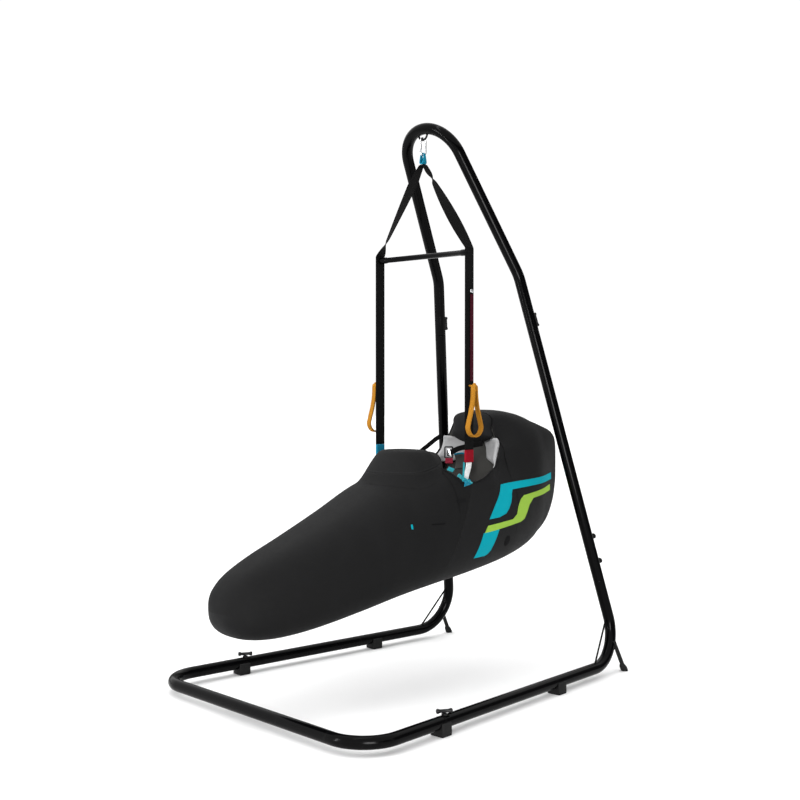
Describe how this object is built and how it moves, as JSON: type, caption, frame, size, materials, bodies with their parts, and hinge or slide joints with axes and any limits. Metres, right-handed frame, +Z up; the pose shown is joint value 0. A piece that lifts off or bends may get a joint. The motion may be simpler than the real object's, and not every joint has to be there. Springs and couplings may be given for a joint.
{
  "type": "paragliding harness simulator stand",
  "caption": "Bent-tube stand with a height-adjustable arch, from which a paragliding pod harness hangs on two webbing risers, a spreader bar and a carabiner.",
  "frame": {"origin": "middle of the bounding box at floor level, where the stand's feet rest", "axes": "+Z up; the pod's nose and the stand's front tube point to -Y; the pilot's left is +X"},
  "size_m": [1.1182, 1.629, 2.0619],
  "materials": {
    "tube_black": "gloss black powder coat",
    "knob_black": "moulded black plastic",
    "rubber_black": "matt black rubber",
    "bright_steel": "bright zinc-plated steel",
    "alloy": "polished alloy",
    "web_black": "black polyester webbing",
    "web_teal": "teal webbing",
    "web_red": "red webbing",
    "web_white": "white webbing",
    "web_orange": "orange-yellow webbing",
    "pod_black": "charcoal-black stretch fabric",
    "lining_grey": "light grey mesh lining",
    "sleeve_black": "black sleeved alloy bar"
  },
  "bodies": {
    "stand": {"front_bow": "tube_black", "rail_left": "tube_black", "rail_right": "tube_black", "upright_left": "tube_black", "upright_right": "tube_black", "inner_tube_left": "bright_steel", "inner_tube_right": "bright_steel", "foot_front_left": "rubber_black", "foot_front_right": "rubber_black", "foot_rear_left": "rubber_black", "foot_rear_right": "rubber_black", "base_knob_left": "knob_black", "base_knob_right": "knob_black", "leg_bolt_low_left": "knob_black", "leg_bolt_low_right": "knob_black", "leg_bolt_high_left": "knob_black", "leg_bolt_high_right": "knob_black", "kick_leg_left": "rubber_black", "kick_leg_right": "rubber_black", "bend_brace_left": "tube_black", "bend_brace_right": "tube_black"},
    "arch": {"top_arch": "tube_black", "eyelet": "tube_black", "height_knob_left": "knob_black", "height_knob_right": "knob_black"},
    "carabiner_body": {"carabiner": "alloy"},
    "loop_body": {"hanging_loop": "web_teal"},
    "harness": {"spreader_bar": "sleeve_black", "leg_cover": "pod_black", "seat_shell": "pod_black", "cockpit": "pod_black", "seat_pad": "lining_grey", "back_pad": "lining_grey", "v_strap_left": "web_black", "v_strap_right": "web_black", "riser_left": "web_black", "riser_right": "web_black", "riser_cuff_left": "web_red", "riser_cuff_right": "web_teal", "hip_link_left": "web_white", "hip_link_right": "web_teal", "brake_handle_left": "web_orange", "brake_handle_right": "web_orange", "shoulder_pad_left": "lining_grey", "shoulder_pad_right": "lining_grey"}
  },
  "joints": [
    {"name": "arch_height", "type": "slide", "parent": "stand", "child": "arch", "axis": [0, -0.2135, 0.9769], "range_m": [0, 0.3], "deforming": ["inner_tube_left", "inner_tube_right"]},
    {"name": "harness_swing", "type": "hinge", "parent": "arch", "child": "carabiner_body", "pos_m": [0, 0.1205, 2], "axis": [1, 0, 0], "range_deg": [-6, 2]},
    {"name": "harness_sway", "type": "hinge", "parent": "carabiner_body", "child": "loop_body", "pos_m": [0, 0.1205, 1.944], "axis": [0, 1, 0], "range_deg": [-1.5, 1.5]},
    {"name": "harness_turn", "type": "hinge", "parent": "loop_body", "child": "harness", "pos_m": [0, 0.1205, 1.585], "axis": [0, 0, 1], "range_deg": [-3, 3]}
  ]
}
